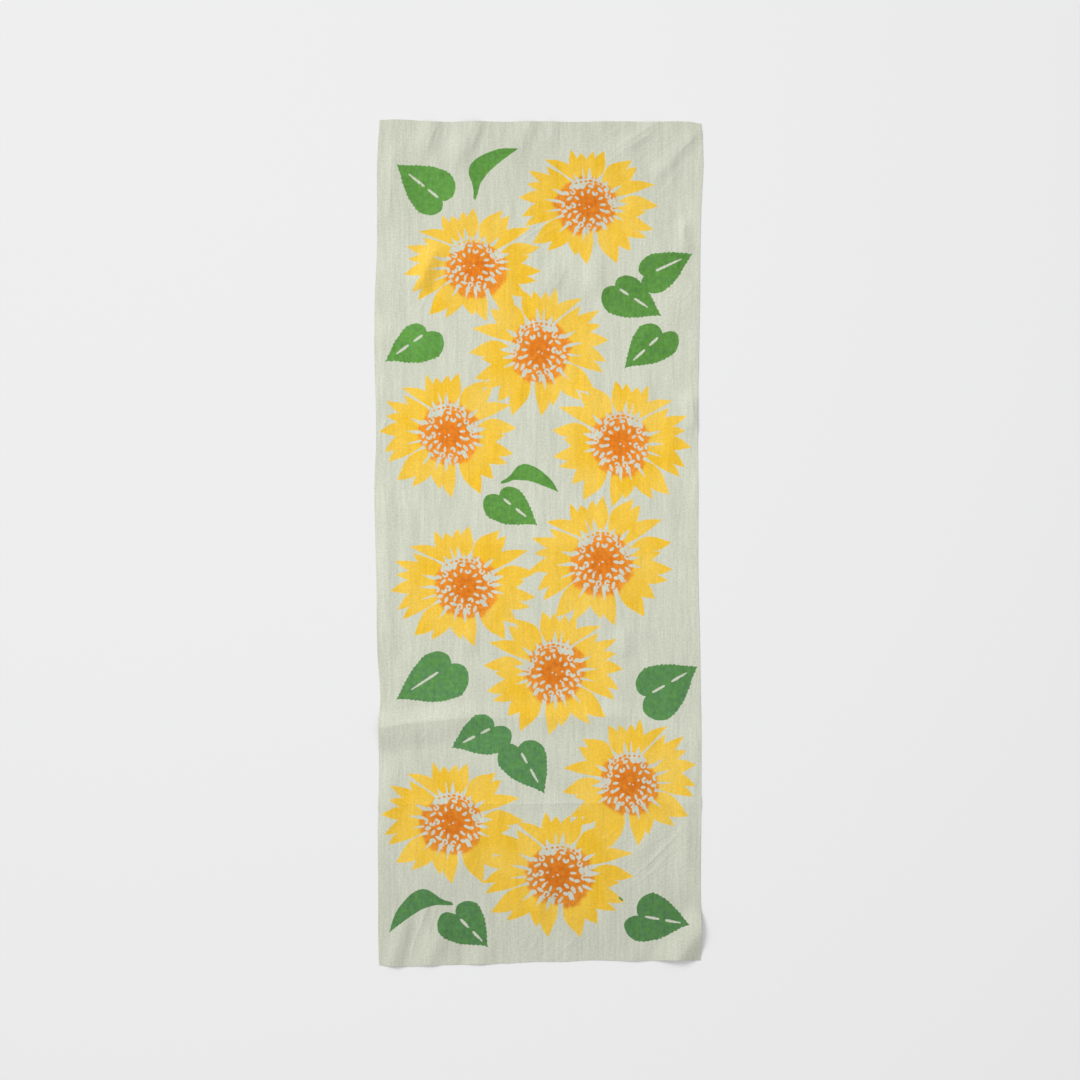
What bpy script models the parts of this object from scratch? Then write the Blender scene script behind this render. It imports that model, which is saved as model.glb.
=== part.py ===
"""A tenugui: one plain cut length of dyed cotton, spread by hand on a flat surface.

The cloth is one sheet of even thickness. Its two long sides are the selvedges, which
pull in a little at mid length, and its two short ends are cut straight and left raw,
so it has no hem. It lies at Z = 0 with its face up. X runs across the cloth, Y runs
along it towards its top end, and the origin is under the middle of its outline.
Sizes in the tables are in millimetres, measured from the middle of the cloth.
"""

import bpy
import bmesh
import math

MM = 0.001

# Driving sizes of the flat cloth, in millimetres.
CLOTH_WIDTH = 345.0
CLOTH_LENGTH = 900.0
SHEET_THICKNESS = 1.0
GRID_STEP = 11.0

# The edges stand this far off the surface, except at the four corners, which lie on it.
EDGE_LIFT = 0.3
EDGE_REACH = 11.0
CORNER_REACH = 12.0

CLOTH_COLOUR = (0.61, 0.64, 0.53, 1.0)
CLOTH_ROUGHNESS = 0.9

# How far the two long sides stand out from straight, read at stations along the cloth.
# Columns: up the cloth, left side out, right side out.
SIDE_EDGES = (
    (450, -2.9, 1.9),
    (405, -0.2, 3.4),
    (360, -0.1, 1.2),
    (310, 0.1, 0.1),
    (260, 2.3, -0.3),
    (210, 2.8, -1.1),
    (150, 1.3, -2.2),
    (110, 0.8, -2.4),
    (60, 2.8, -2.0),
    (0, 1.6, -2.1),
    (-50, 0.4, -1.7),
    (-110, -0.2, -0.1),
    (-165, -3.6, 0.5),
    (-190, -2.0, 1.2),
    (-250, -2.2, 1.3),
    (-310, -1.0, 1.0),
    (-370, -1.4, 0.6),
    (-420, -1.5, 1.5),
    (-450, -2.2, 0.9),
)

# How far the two cut ends stand out from straight, read at stations across the cloth.
# Columns: across the cloth, top end out, bottom end out.
END_EDGES = (
    (-172, 1.1, 2.2),
    (-154, 1.6, 3.3),
    (-139, 1.0, 3.6),
    (-124, -0.4, 2.6),
    (-95, -1.0, 1.7),
    (-65, -0.4, 1.3),
    (-35, -1.0, 0.2),
    (-5, -0.5, -1.5),
    (25, -1.0, -1.5),
    (55, -1.0, -3.2),
    (85, -0.4, -2.5),
    (115, -1.0, -2.6),
    (145, -0.4, -3.6),
    (160, -1.1, -3.4),
    (172, -3.0, -2.8),
)

# Folds that stand up from the surface, each along a straight line. A line's first end is
# its lower or its left one, so its left flank faces the top or the left of the cloth.
# Columns: name, first end X and Y, last end X and Y, rise, left flank's width,
# right flank's width, length over which each end dies out.
FOLDS = (
    ("top end, first wave", -128, 400, -108, 470, 3.2, 17, 14, 32),
    ("top end, second wave", -90, 392, -60, 470, 3.8, 22, 15, 36),
    ("top end, third wave", -28, 400, -2, 470, 2.8, 18, 15, 34),
    ("top end, fourth wave", 8, 412, 22, 470, 2.2, 14, 13, 26),
    ("top end, fifth wave", 60, 425, 74, 470, 1.4, 16, 14, 24),
    ("top right drag, inner", 84, 412, 132, 456, 1.6, 13, 13, 16),
    ("top right drag, outer", 122, 386, 174, 446, 1.8, 13, 13, 18),
    ("top left side ripple", -160, 330, -155, 432, 1.8, 14, 14, 30),
    ("ridge left of the top", -131, 264, -106, 322, 4.6, 17, 15, 18),
    ("soft wave, upper middle", 12, 262, 20, 304, 1.8, 15, 15, 20),
    ("soft wave, upper right", 58, 258, 66, 318, 2.2, 18, 18, 22),
    ("right side crease, upper", 158, 300, 156, 352, 2.4, 14, 13, 18),
    ("left side ripple, upper", -163, 120, -165, 250, 1.5, 14, 13, 40),
    ("right side crease, middle", 162, 112, 160, 164, 2.8, 14, 13, 18),
    ("left side ripple, middle", -158, -130, -163, 70, 1.7, 14, 14, 40),
    ("left inner ripple, middle", -136, -80, -142, 60, 1.2, 15, 15, 36),
    ("folding line, middle", -70, -4, 70, -3, 1.0, 16, 14, 40),
    ("soft wave below the middle", -42, -86, -44, -40, 1.6, 16, 18, 20),
    ("short wave, lower left", -73, -124, -72, -84, 1.8, 14, 13, 16),
    ("short wave, lower right", 92, -130, 93, -84, 2.2, 14, 14, 18),
    ("folding line, strong part", -220, -204, -50, -184, 5.2, 18, 30, 48),
    ("folding line, fading part", -112, -188, 120, -184, 1.8, 15, 22, 60),
    ("folding line, lower", -200, -280, 200, -279, 0.8, 13, 13, 24),
    ("left side ripple, lower", -160, -330, -158, -225, 1.8, 14, 14, 34),
    ("drag wave, lower left", -88, -362, -62, -300, 1.6, 16, 15, 24),
    ("drag wave, lower middle", -10, -408, 22, -350, 1.6, 18, 16, 26),
    ("drag wave, lower right", 96, -352, 132, -296, 1.3, 16, 15, 26),
    ("right side ripple, lower", 160, -384, 159, -250, 1.8, 14, 13, 40),
    ("bottom left, outer wave", -159, -470, -140, -388, 4.2, 14, 15, 30),
    ("bottom left, inner wave", -124, -470, -96, -398, 3.0, 17, 15, 34),
    ("bottom left, third wave", -70, -470, -52, -418, 1.6, 16, 16, 28),
    ("bottom right, inner wave", 92, -470, 112, -424, 1.4, 16, 16, 26),
    ("bottom right corner", 136, -462, 186, -398, 6.2, 28, 20, 14),
)


def smooth_read(stations, values, at):
    """Reads a curve through the table's points, smooth from one point to the next."""
    count = len(stations)
    if at <= stations[0]:
        return values[0]
    if at >= stations[-1]:
        return values[-1]
    i = max(k for k in range(count - 1) if stations[k] <= at)
    before, after = max(i - 1, 0), min(i + 2, count - 1)
    span = stations[i + 1] - stations[i]
    slope_in = (values[i + 1] - values[before]) / (stations[i + 1] - stations[before])
    slope_out = (values[after] - values[i]) / (stations[after] - stations[i])
    t = (at - stations[i]) / span
    return (
        values[i] * (2 * t**3 - 3 * t**2 + 1)
        + slope_in * span * (t**3 - 2 * t**2 + t)
        + values[i + 1] * (3 * t**2 - 2 * t**3)
        + slope_out * span * (t**3 - t**2)
    )


def side_reach(up, column):
    """How far a long side stands from the middle line, at a height up the cloth."""
    rows = sorted(SIDE_EDGES)
    out = smooth_read([row[0] for row in rows], [row[column] for row in rows], up)
    return CLOTH_WIDTH / 2 + out


def end_reach(across, column):
    """How far a cut end stands from the middle line, at a place across the cloth."""
    out = smooth_read([row[0] for row in END_EDGES], [row[column] for row in END_EDGES], across)
    return CLOTH_LENGTH / 2 + out


def outline_place(across_share, up_share):
    """Where a point of the flat grid lies, its shares running from 0 to 1."""
    up = (up_share - 0.5) * CLOTH_LENGTH
    across = (across_share - 0.5) * CLOTH_WIDTH
    left, right = -side_reach(up, 1), side_reach(up, 2)
    bottom, top = -end_reach(across, 2), end_reach(across, 1)
    return left + (right - left) * across_share, bottom + (top - bottom) * up_share


def bump(share):
    """A smooth hump: 1 at 0, and flat on the ground from 1 on."""
    return (1 - share * share) ** 2 if share < 1 else 0.0


def fold_rise(x, y, fold):
    """How high one fold lifts the cloth at a point."""
    name, x0, y0, x1, y1, rise, left_flank, right_flank, fade = fold
    length = math.hypot(x1 - x0, y1 - y0)
    along_x, along_y = (x1 - x0) / length, (y1 - y0) / length
    along = (x - x0) * along_x + (y - y0) * along_y
    aside = along_x * (y - y0) - along_y * (x - x0)
    flank = left_flank if aside > 0 else right_flank
    past_end = max(fade - along, along - (length - fade), 0.0)
    return rise * bump(abs(aside) / flank) * bump(past_end / fade)


def edge_lift(across_share, up_share):
    """How high the cut ends and the selvedges stand off the surface, but for the corners."""
    from_side = CLOTH_WIDTH * min(across_share, 1 - across_share)
    from_end = CLOTH_LENGTH * min(up_share, 1 - up_share)
    near_edge = bump(min(from_side, from_end) / EDGE_REACH)
    near_corner = bump(math.hypot(from_side, from_end) / CORNER_REACH)
    return EDGE_LIFT * near_edge * (1 - near_corner)


def cloth_point(across_share, up_share):
    """Where a point of the cloth's underside lies, its shares running from 0 to 1."""
    x, y = outline_place(across_share, up_share)
    folds = sum(fold_rise(x, y, fold) for fold in FOLDS)
    return x, y, folds + edge_lift(across_share, up_share)


def make_cloth_material():
    material = bpy.data.materials.new("dyed_cotton")
    material.use_nodes = True
    shader = material.node_tree.nodes["Principled BSDF"]
    shader.inputs["Base Color"].default_value = CLOTH_COLOUR
    shader.inputs["Roughness"].default_value = CLOTH_ROUGHNESS
    shader.inputs["Metallic"].default_value = 0.0
    return material


def make_cloth():
    """The underside as a grid bent to the outline and folds, then given its thickness."""
    columns = round(CLOTH_WIDTH / GRID_STEP)
    rows = round(CLOTH_LENGTH / GRID_STEP)
    grid = bmesh.new()
    bmesh.ops.create_grid(grid, x_segments=columns, y_segments=rows, size=0.5)
    for vert in grid.verts:
        x, y, height = cloth_point(vert.co.x + 0.5, vert.co.y + 0.5)
        vert.co = (x * MM, y * MM, height * MM)
    middle_x = (min(v.co.x for v in grid.verts) + max(v.co.x for v in grid.verts)) / 2
    middle_y = (min(v.co.y for v in grid.verts) + max(v.co.y for v in grid.verts)) / 2
    bmesh.ops.translate(grid, verts=grid.verts, vec=(-middle_x, -middle_y, 0.0))
    mesh = bpy.data.meshes.new("tenugui_cloth")
    grid.to_mesh(mesh)
    grid.free()
    mesh.shade_smooth()

    cloth = bpy.data.objects.new("tenugui_cloth", mesh)
    bpy.context.scene.collection.objects.link(cloth)
    cloth.data.materials.append(make_cloth_material())
    thicken = cloth.modifiers.new("sheet thickness", "SOLIDIFY")
    thicken.thickness = SHEET_THICKNESS * MM
    thicken.offset = 1.0
    return cloth


for old in list(bpy.data.objects):
    bpy.data.objects.remove(old, do_unlink=True)

make_cloth()
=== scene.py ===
"""A cotton tenugui, spread by hand: its sheet with folds, its dyed print, and its stage.

The cloth is one thin closed sheet. Its points are drawn flat, in millimetres from the
middle of the cloth, with the outlines of the print among them, and are then lifted onto
the folds. X runs across the cloth and Y along it, towards its top end.
"""

import math
import random

import bpy
import numpy as np
from bpy.props import FloatProperty, FloatVectorProperty, PointerProperty
from bpy.types import Operator, Panel, PropertyGroup
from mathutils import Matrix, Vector
from mathutils.geometry import delaunay_2d_cdt


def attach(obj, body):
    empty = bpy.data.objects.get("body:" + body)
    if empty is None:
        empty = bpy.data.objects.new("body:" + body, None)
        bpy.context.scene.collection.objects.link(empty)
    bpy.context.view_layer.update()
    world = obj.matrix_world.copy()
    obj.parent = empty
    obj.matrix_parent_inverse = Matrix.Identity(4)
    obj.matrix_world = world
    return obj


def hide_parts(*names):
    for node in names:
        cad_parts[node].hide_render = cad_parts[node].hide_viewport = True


bl_info = {
    "name": "Spread tenugui",
    "version": (1, 0, 0),
    "blender": (4, 5, 0),
    "location": "3D View > Sidebar > Tenugui",
    "description": "Lays out a dyed cotton tenugui with its folds and print, on a pale stage",
    "category": "Object",
}

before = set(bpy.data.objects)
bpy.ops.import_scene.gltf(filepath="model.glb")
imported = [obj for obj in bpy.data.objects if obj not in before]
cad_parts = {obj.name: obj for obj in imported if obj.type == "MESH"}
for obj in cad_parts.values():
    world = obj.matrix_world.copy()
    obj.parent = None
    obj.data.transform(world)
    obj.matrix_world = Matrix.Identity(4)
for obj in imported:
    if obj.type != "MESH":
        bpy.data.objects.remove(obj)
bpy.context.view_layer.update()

CLOTH_NODE = "tenugui_cloth"
MM = 0.001

# Flat sizes of the cloth and the rise of its edges, in millimetres, as in its solid.
CLOTH_WIDTH = 345.0
CLOTH_LENGTH = 900.0
EDGE_LIFT = 0.3
EDGE_REACH = 11.0
CORNER_REACH = 12.0

# How far the two long sides stand out from straight, read at stations along the cloth.
# Columns: up the cloth, left side out, right side out.
SIDE_EDGES = (
    (450, -2.9, 1.9),
    (405, -0.2, 3.4),
    (360, -0.1, 1.2),
    (310, 0.1, 0.1),
    (260, 2.3, -0.3),
    (210, 2.8, -1.1),
    (150, 1.3, -2.2),
    (110, 0.8, -2.4),
    (60, 2.8, -2.0),
    (0, 1.6, -2.1),
    (-50, 0.4, -1.7),
    (-110, -0.2, -0.1),
    (-165, -3.6, 0.5),
    (-190, -2.0, 1.2),
    (-250, -2.2, 1.3),
    (-310, -1.0, 1.0),
    (-370, -1.4, 0.6),
    (-420, -1.5, 1.5),
    (-450, -2.2, 0.9),
)

# How far the two cut ends stand out from straight, read at stations across the cloth.
# Columns: across the cloth, top end out, bottom end out.
END_EDGES = (
    (-172, 1.1, 2.2),
    (-154, 1.6, 3.3),
    (-139, 1.0, 3.6),
    (-124, -0.4, 2.6),
    (-95, -1.0, 1.7),
    (-65, -0.4, 1.3),
    (-35, -1.0, 0.2),
    (-5, -0.5, -1.5),
    (25, -1.0, -1.5),
    (55, -1.0, -3.2),
    (85, -0.4, -2.5),
    (115, -1.0, -2.6),
    (145, -0.4, -3.6),
    (160, -1.1, -3.4),
    (172, -3.0, -2.8),
)

# The main folds, as in the cloth's solid, each along a straight line. A line's first end
# is its lower or its left one, so its left flank faces the top or the left of the cloth.
# Columns: name, first end X and Y, last end X and Y, rise, left flank's width,
# right flank's width, length over which each end dies out.
MAIN_FOLDS = (
    ("top end, first wave", -128, 400, -108, 470, 3.2, 17, 14, 32),
    ("top end, second wave", -90, 392, -60, 470, 3.8, 22, 15, 36),
    ("top end, third wave", -28, 400, -2, 470, 2.8, 18, 15, 34),
    ("top end, fourth wave", 8, 412, 22, 470, 2.2, 14, 13, 26),
    ("top end, fifth wave", 60, 425, 74, 470, 1.4, 16, 14, 24),
    ("top right drag, inner", 84, 412, 132, 456, 1.6, 13, 13, 16),
    ("top right drag, outer", 122, 386, 174, 446, 1.8, 13, 13, 18),
    ("top left side ripple", -160, 330, -155, 432, 1.8, 14, 14, 30),
    ("ridge left of the top", -131, 264, -106, 322, 4.6, 17, 15, 18),
    ("soft wave, upper middle", 12, 262, 20, 304, 1.8, 15, 15, 20),
    ("soft wave, upper right", 58, 258, 66, 318, 2.2, 18, 18, 22),
    ("right side crease, upper", 158, 300, 156, 352, 2.4, 14, 13, 18),
    ("left side ripple, upper", -163, 120, -165, 250, 1.5, 14, 13, 40),
    ("right side crease, middle", 162, 112, 160, 164, 2.8, 14, 13, 18),
    ("left side ripple, middle", -158, -130, -163, 70, 1.7, 14, 14, 40),
    ("left inner ripple, middle", -136, -80, -142, 60, 1.2, 15, 15, 36),
    ("folding line, middle", -70, -4, 70, -3, 1.0, 16, 14, 40),
    ("soft wave below the middle", -42, -86, -44, -40, 1.6, 16, 18, 20),
    ("short wave, lower left", -73, -124, -72, -84, 1.8, 14, 13, 16),
    ("short wave, lower right", 92, -130, 93, -84, 2.2, 14, 14, 18),
    ("folding line, strong part", -220, -204, -50, -184, 5.2, 18, 30, 48),
    ("folding line, fading part", -112, -188, 120, -184, 1.8, 15, 22, 60),
    ("folding line, lower", -200, -280, 200, -279, 0.8, 13, 13, 24),
    ("left side ripple, lower", -160, -330, -158, -225, 1.8, 14, 14, 34),
    ("drag wave, lower left", -88, -362, -62, -300, 1.6, 16, 15, 24),
    ("drag wave, lower middle", -10, -408, 22, -350, 1.6, 18, 16, 26),
    ("drag wave, lower right", 96, -352, 132, -296, 1.3, 16, 15, 26),
    ("right side ripple, lower", 160, -384, 159, -250, 1.8, 14, 13, 40),
    ("bottom left, outer wave", -159, -470, -140, -388, 4.2, 14, 15, 30),
    ("bottom left, inner wave", -124, -470, -96, -398, 3.0, 17, 15, 34),
    ("bottom left, third wave", -70, -470, -52, -418, 1.6, 16, 16, 28),
    ("bottom right, inner wave", 92, -470, 112, -424, 1.4, 16, 16, 26),
    ("bottom right corner", 136, -462, 186, -398, 6.2, 28, 20, 14),
)

# Crisp creases that the solid leaves out: low ridges with a sharp crest.
# Columns: name, first end X and Y, last end X and Y, how far the middle bows to the left
# of the straight line, rise, left flank's width, right flank's width.
CREASES = (
    ("top left, first", -118, 419, -108, 447, 1, 0.90, 4.0, 6.0),
    ("top left, beside it", -112, 417, -105, 443, 0, 0.50, 3.0, 4.0),
    ("top left, second", -71, 419, -61, 448, 1, 0.90, 4.0, 6.0),
    ("top, left of middle", 8, 434, -4, 448, -1, 0.60, 3.5, 3.5),
    ("top, right of middle", 66, 430, 89, 445, 0, 0.30, 2.6, 2.6),
    ("top right, upper", 90, 423, 120, 444, 1, 0.50, 3.0, 3.0),
    ("top right, lower", 96, 421, 125, 440, 0, 0.50, 3.0, 4.0),
    ("top right corner", 147, 414, 171, 439, -1, 0.60, 3.5, 4.5),
    ("upper right, leaning", 125, 366, 154, 403, -1, 0.35, 2.8, 2.8),
    ("leaf, top left", -125, 359, -123, 400, 0, 0.50, 2.4, 3.4),
    ("left side, top", -158, 353, -156, 430, 1, 0.40, 3.0, 3.0),
    ("left side, below the top", -150, 227, -147, 293, 1, 0.40, 3.0, 3.0),
    ("below the ridge", -127, 245, -119, 266, 0, 0.60, 3.0, 3.0),
    ("between flowers, first", -32, 312, 16, 344, 1, 0.45, 2.6, 2.6),
    ("between flowers, second", -36, 316, 8, 346, 0, 0.35, 2.4, 2.4),
    ("between flowers, third", -26, 307, 19, 338, -1, 0.35, 2.4, 2.4),
    ("upper middle", 14, 268, 30, 297, -2, 0.60, 4.0, 5.0),
    ("right side, upper", 156, 308, 158, 346, 2, 0.80, 3.5, 5.0),
    ("right of the upper leaf", 156, 259, 168, 277, 0, 0.40, 2.6, 2.6),
    ("left edge, upper", -168, 118, -161, 133, 0, 0.70, 2.6, 3.4),
    ("tick", 16, 125, 23, 129, 0, 0.50, 1.8, 2.4),
    ("right edge, middle", 166, 122, 164, 151, -1, 0.80, 3.0, 4.0),
    ("left border, leaning", -138, 32, -151, 86, 1, 0.45, 2.6, 3.6),
    ("left border, outer", -160, 11, -165, 68, 1, 0.40, 2.6, 2.6),
    ("left border, inner", -144, -62, -148, -6, 0, 0.35, 2.6, 2.6),
    ("folding line, upper", -165, 89, 167, 90, 0, 0.12, 2.4, 2.4),
    ("folding line, middle", -165, 20, 23, 20, 0, 0.14, 2.4, 2.4),
    ("folding line, band's top", -165, -1, 23, -2, 0, 0.16, 3.0, 3.0),
    ("folding line, band's foot", -165, -16, 29, -17, 0, 0.16, 3.0, 3.0),
    ("folding line, right", 66, -81, 168, -80, 0, 0.22, 2.4, 2.4),
    ("folding line, left", -167, -99, -127, -100, 0, 0.20, 2.4, 2.4),
    ("lower left, short", -128, -118, -120, -80, 1, 0.45, 3.0, 3.0),
    ("right, above the fold", 162, -175, 166, -115, 0, 0.35, 3.0, 3.0),
    ("fold's crest, left", -167, -199, -96, -189, 3, 0.55, 3.0, 6.0),
    ("fold's crest, right", -96, -188, 170, -186, 0, 0.25, 2.6, 4.0),
    ("below the fold, first", -151, -219, -144, -201, 0, 0.50, 2.6, 2.6),
    ("below the fold, second", -126, -214, -118, -201, 0, 0.35, 2.4, 2.4),
    ("lower folding line", -167, -280, 171, -279, 0, 0.30, 2.4, 2.4),
    ("left border, lower", -134, -366, -134, -254, -1, 0.40, 2.8, 2.8),
    ("below the line, left", -45, -309, -41, -284, 0, 0.40, 2.6, 2.6),
    ("below the line, middle", -14, -323, 2, -293, 0, 0.35, 2.6, 2.6),
    ("right of the lower flower", 66, -322, 87, -304, 0, 0.35, 2.4, 2.4),
    ("lower right, long", 100, -359, 159, -299, -2, 0.50, 2.4, 3.0),
    ("lower right, beside it", 111, -362, 147, -325, -1, 0.35, 2.4, 2.4),
    ("lower right, short", 112, -351, 130, -332, 0, 0.35, 2.4, 2.4),
    ("right side, lower", 166, -383, 168, -308, 0, 0.40, 3.0, 3.0),
    ("lower middle, left", -74, -366, -61, -329, 0, 0.40, 2.8, 2.8),
    ("lower middle", -28, -379, -5, -348, 0, 0.40, 3.0, 3.0),
    ("bottom left, long", -138, -445, -107, -368, 2, 0.60, 2.6, 3.6),
    ("bottom left, second", -122, -442, -96, -353, 2, 0.40, 2.6, 2.6),
    ("bottom left, third", -89, -442, -73, -399, 1, 0.35, 3.0, 3.0),
    ("bottom, left of middle", -7, -438, 2, -415, 0, 0.35, 3.0, 3.0),
    ("bottom, middle", 28, -435, 44, -421, 0, 0.40, 3.0, 3.0),
)
# How much of a main fold's rise stands as a crisp crest.
CREST_SHARE = 0.22
# The mesh follows a crease's crest and its two shoulders, which lie at this share of its
# flanks, with points this far apart, and no nearer to the cloth's edge than the clearance.
CREASE_STEP = 4.0
CREASE_SHOULDER = 0.4
CREASE_CLEARANCE = 1.2
# A crease rises and dies out over this share of its length at each end.
CREASE_FADE = 0.4

# Shallow ripples that hands leave: their number, their wave lengths, how far they lean from
# the warp in degrees, and how high they stand for their wave length.
RIPPLE_COUNT = 46
RIPPLE_WAVES = (9, 34)
RIPPLE_LEAN = 9
RIPPLE_STRENGTH = 0.010

# Where the small crinkles lean as the long creases there do, and by how many degrees from
# the vertical. Columns: middle X and Y, reach across and along.
DRAG_ZONES = (
    (110, 410, 110, 90),
    (-5, 325, 60, 45),
    (150, 250, 50, 120),
    (110, -335, 110, 80),
    (20, -430, 110, 60),
)
DRAG_LEAN = 52
# How much darker the cloth is painted at its right side than at its middle: painted shade, away from the
# light at the left.
RIGHT_SIDE_PAINTED_SHADE = 0.014
# How light the cloth is painted along its length, as painted light and shade: lighter just above
# the middle, darker towards both ends and most at the bottom; and how blue its green has turned.
# Columns: up the cloth, share of its full tone as painted light and shade, share of the bluish green.
SHADE_AND_GREEN_ALONG_LENGTH = (
    (-450, 0.90, 0.8),
    (-377, 0.92, 0.8),
    (-281, 0.975, 0.85),
    (-185, 1.0, 0.8),
    (-89, 1.0, 0.6),
    (7, 1.03, 0.1),
    (104, 1.04, 0.0),
    (200, 1.03, 0.05),
    (296, 1.025, 0.1),
    (392, 0.99, 0.0),
    (450, 0.97, 0.0),
)

# The print. Its flowers all follow one drawing, laid out once in millimetres and in
# degrees from the middle of its disc, counted up from the right.
# Five clumps of petals. Columns: direction and reach of the tip, and its lean, which is
# above 0 where the petal's counterclockwise side is the fuller one.
PETAL_CLUMPS = (
    ((18, 75, 0.1), (39, 67, 0.2), (47, 68, 0.1)),
    ((74, 62, 0.3), (85, 59, 0.15), (98, 58, 0.05), (107, 64, 0.1), (133, 69, -0.5)),
    ((136, 62, -0.3), (149, 75, 0.1), (160, 70, -0.3), (173, 75, -0.3), (189, 72, -0.2), (198, 71, -0.6)),
    ((214, 72, 0.2), (228, 65, 0.3), (256, 55, -0.4), (269, 63, -0.4)),
    ((296, 69, 0.1), (313, 66, 0.2), (331, 71, -0.2), (340, 74, -0.3), (354, 62, 0.3), (360, 75, -0.6)),
)
# The gap that follows each clump. Columns: direction of its foot, reach of its foot,
# width of its foot, fullness of the petal's side before it and of the one after it.
CLUMP_GAPS = (
    (68, 29, 7, 0.29, 0.22),
    (121, 30, 3.8, 0.02, 0.06),
    (201, 28, 4.5, 0.06, 0.20),
    (284, 30, 5, 0.08, 0.18),
    (373, 31, 6, 0.25, 0.04),
)
# How full the sides are elsewhere, and how much of that a petal's lean moves to one side.
PETAL_FULLNESS = 0.05
LEAN_FILLS = 1.6
# Points along a petal's side next to a gap, and along its other sides.
GAP_SIDE_STEPS = 9
SIDE_STEPS = 5
# How far out the valley between two petals lies: so much, and this share of the nearer
# tip's reach, less so much for each degree between the tips.
VALLEY_BASE = 26.3
VALLEY_SHARE = 0.50
VALLEY_DEEPENS = 0.35

# Pale spikes that run out between the petals' feet.
# Columns: direction, inner end's reach, outer end's reach, width.
PALE_SPIKES = (
    (32, 29, 41, 4.6),
    (3, 29, 41, 6.2),
    (351, 29, 39, 4.2),
    (338, 29, 41, 3.2),
    (308, 23, 32, 5.0),
    (261, 24, 38, 4.2),
    (243, 24, 37, 3.6),
    (222, 29, 42, 3.2),
    (187, 30, 45, 2.4),
    (171, 30, 46, 3.6),
    (154, 29, 43, 4.0),
    (113, 28, 37, 4.6),
    (99, 28, 42, 2.4),
    (88, 28, 41, 5.0),
    (78, 28, 32, 3.4),
    (52, 27, 34, 4.4),
)

# The pale patch at the top of the disc: a band, and blobs on its inner side.
# Columns of the band: direction, reach, half of its width.
CROWN_BAND = (
    (41, 28.0, 1.3),
    (50, 27.7, 2.3),
    (62, 27.6, 2.5),
    (75, 27.5, 2.3),
    (88, 27.6, 2.5),
    (100, 27.4, 3.1),
    (112, 27.2, 3.8),
    (124, 27.2, 3.4),
    (134, 27.6, 1.7),
)
# Columns of the blobs: direction, reach, length, width.
CROWN_BLOBS = (
    (131, 26.4, 5.6, 4.4),
    (119, 23.8, 7.4, 6.0),
    (107, 22.2, 6.4, 6.4),
    (98, 24.6, 4.0, 3.4),
    (83, 21.4, 6.2, 3.4),
    (78, 24.0, 2.6, 3.0),
    (54, 21.6, 7.0, 3.6),
    (44, 25.2, 4.6, 3.4),
    (11, 28.0, 7.6, 5.0),
)
# The orange dots in the band. Columns: direction, reach, length, width.
CROWN_DOTS = (
    (118, 28.0, 2.6, 2.3),
    (107, 27.2, 3.0, 2.6),
    (96, 26.8, 3.4, 2.6),
    (85, 27.2, 4.6, 2.9),
    (73, 26.7, 4.4, 3.3),
    (61, 27.3, 3.8, 3.6),
    (50, 27.0, 4.2, 3.2),
)

# The pale seeds: two outer rows, a ring nearer to the middle, and dots within it.
SEED_ROW_COUNT = 12
SEED_ROW_REACHES = (22.4, 27.2)
SEED_ROW_SPAN = (138, 402)
# Of the seeds in the outer rows this share is oval, and up to the next share they are hooks.
# The rest are nearly closed rings.
OVAL_SHARE = 0.52
HOOK_SHARE = 0.88
INNER_SEED_COUNT = 13
INNER_SEED_REACH = 14.8
# Columns of the dots: direction, reach, width.
MIDDLE_DOTS = ((172, 9.6, 2.6), (217, 4.0, 1.6), (318, 1.2, 2.2), (225, 12.0, 1.8))

# How far the orange reaches from the middle of its disc, how much less at its crown, in
# which direction that lies in a flower and in a flipped one, and how the orange's edge
# waves. Columns of the waves: their number round the disc, their height.
DISC_REACH = 31.7
CROWN_HOLDS = 2.4
CROWN_DIRECTIONS = (85, 95)
DISC_WAVES = ((2, 1.0), (3, 1.0), (5, 0.9), (9, 0.6))

# Where each flower lies. Columns: across, up, turn in degrees, stretch across and along
# the cloth, how far its top leans to the right as a share of its height, whether it is
# flipped, where its orange dye has run, as a direction and a distance.
FLOWERS = (
    (53.5, 359, 0, 1.00, 0.99, 0.0, False, 150, 2.0),
    (-70, 296, 15, 0.99, 0.98, 0.0, False, -60, 5.5),
    (1, 204, 1, 1.00, 1.10, 0.0, True, 20, 2.0),
    (-96.5, 115, 5, 0.98, 1.08, 0.0, False, 30, 2.5),
    (88.5, 105.5, -10, 1.00, 1.09, 0.0, True, 130, 1.5),
    (67.5, -20.5, 14, 1.03, 1.12, 0.0, False, -80, 2.5),
    (-79.5, -47, 11, 1.05, 1.04, 0.0, False, -20, 3.0),
    (16, -139, -5, 1.00, 1.07, 0.0, True, 40, 2.0),
    (98, -257.5, 7, 0.97, 1.08, 0.0, True, 200, 1.5),
    (-92, -299.5, 1, 1.02, 1.05, 0.0, False, 250, 1.5),
    (20, -355, -2, 1.10, 1.07, 0.09, False, -20, 2.0),
)

# Half of a heart-shaped leaf, from its tip round one lobe to the notch.
# Columns: share of the way from tip to notch, what the lobe's reach adds to it, share of
# that half's width, what the lobe's reach takes from it.
HEART_HALF = (
    (0.0, 0.0, 0.0, 0.0),
    (0.08, 0.0, 0.12, 0.25),
    (0.20, 0.0, 0.35, 0.55),
    (0.38, 0.0, 0.66, 0.50),
    (0.60, 0.0, 0.92, 0.40),
    (0.76, 0.75, 1.0, 0.0),
    (0.92, 0.95, 0.80, 0.0),
    (1.0, 1.0, 0.42, 0.0),
    (1.0, 0.62, 0.13, 0.0),
    (1.0, 0.0, 0.0, 0.0),
)
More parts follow.
